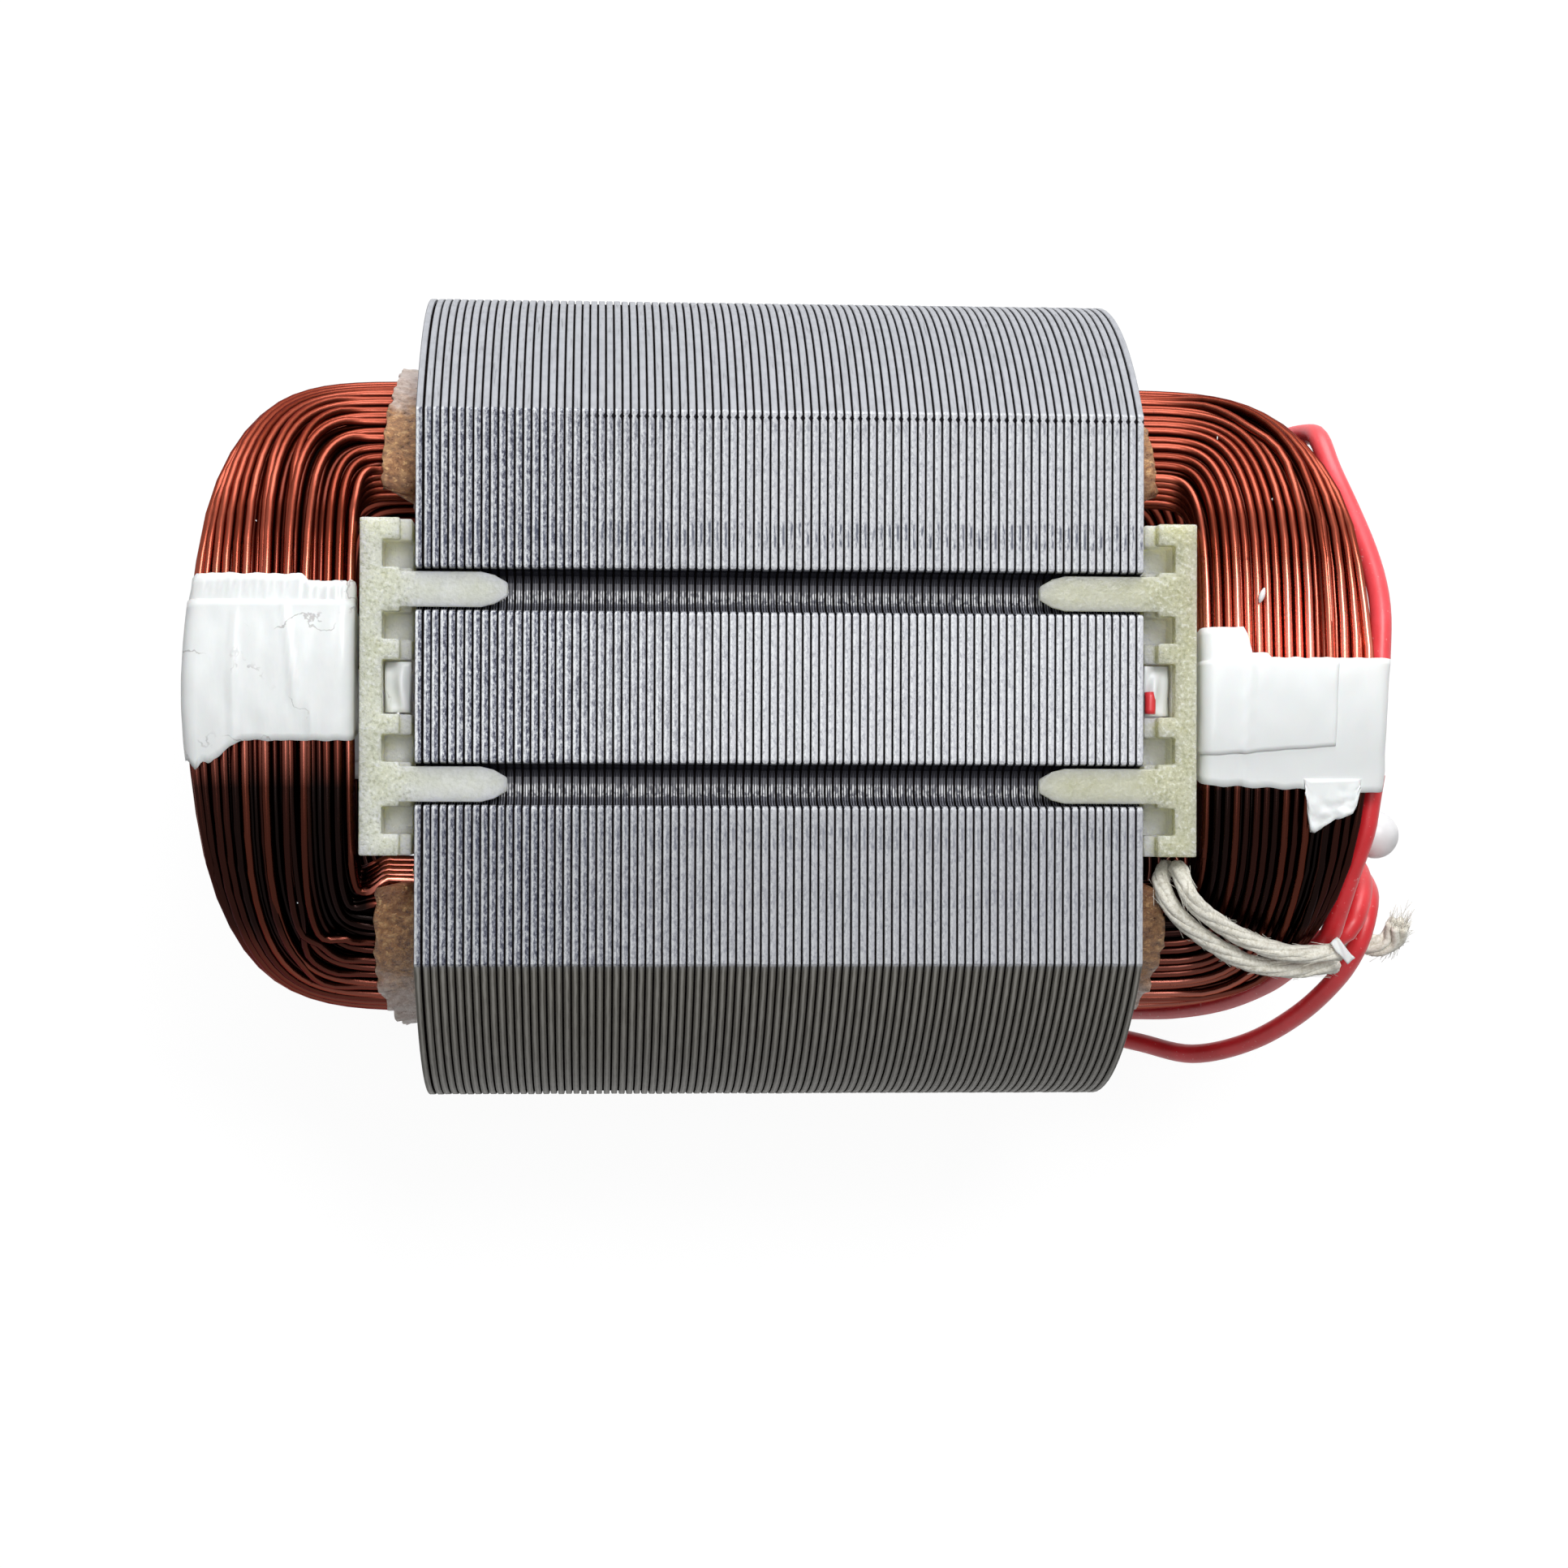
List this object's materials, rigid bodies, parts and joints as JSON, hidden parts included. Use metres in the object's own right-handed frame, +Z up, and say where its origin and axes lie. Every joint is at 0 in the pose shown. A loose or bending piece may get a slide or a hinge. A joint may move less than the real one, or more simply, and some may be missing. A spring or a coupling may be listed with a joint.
{
  "type": "wound stator",
  "caption": "Field stator of a two-pole universal motor: laminated steel core with flats, two copper coils, nylon end plates, paper liners and leads.",
  "frame": {"origin": "middle of the lower flat, on which the part lies", "axes": "+X along the motor axis towards the lead end, +Z up through both poles, +Y across the core"},
  "size_m": [0.1047, 0.069, 0.0535],
  "materials": {
    "core_steel": "stacked electrical steel sheets, cut edges with thin dark gaps and a rough grey film",
    "copper_wire": "red-brown enamelled copper wire, glossy",
    "nylon": "pale yellow-green translucent moulded nylon with a fine eroded texture",
    "liner_paper": "brown fibrous insulating paper with ragged pale edges",
    "white_tape": "slightly glossy white adhesive tape, wrinkled and pleated",
    "red_insulation": "soft red lead insulation with a satin surface",
    "tinned_wire": "bright tinned copper strands",
    "cotton_lacing": "off-white twisted cotton cord with loose fibres",
    "white_sleeve": "white translucent insulating cap"
  },
  "bodies": {
    "root": {"lamination_stack": "core_steel", "upper_coil": "copper_wire", "lower_coil": "copper_wire", "end_plate_upper_left": "nylon", "end_plate_upper_right": "nylon", "end_plate_lower_left": "nylon", "end_plate_lower_right": "nylon", "slot_liner_upper_back": "liner_paper", "slot_liner_upper_front": "liner_paper", "slot_liner_lower_back": "liner_paper", "slot_liner_lower_front": "liner_paper", "coil_tape_upper_left": "white_tape", "coil_tape_upper_right": "white_tape", "coil_tape_lower_left": "white_tape", "coil_tape_lower_right": "white_tape", "jumper_lead": "red_insulation", "upper_lead": "red_insulation", "lower_lead": "red_insulation", "loop_lead": "red_insulation", "upper_lead_end": "tinned_wire", "lower_lead_end": "tinned_wire", "loop_lead_end": "tinned_wire", "lacing_strand_1": "cotton_lacing", "lacing_strand_2": "cotton_lacing", "lacing_tail": "cotton_lacing", "lacing_tie": "white_tape", "splice_cap": "white_sleeve"}
  },
  "joints": []
}
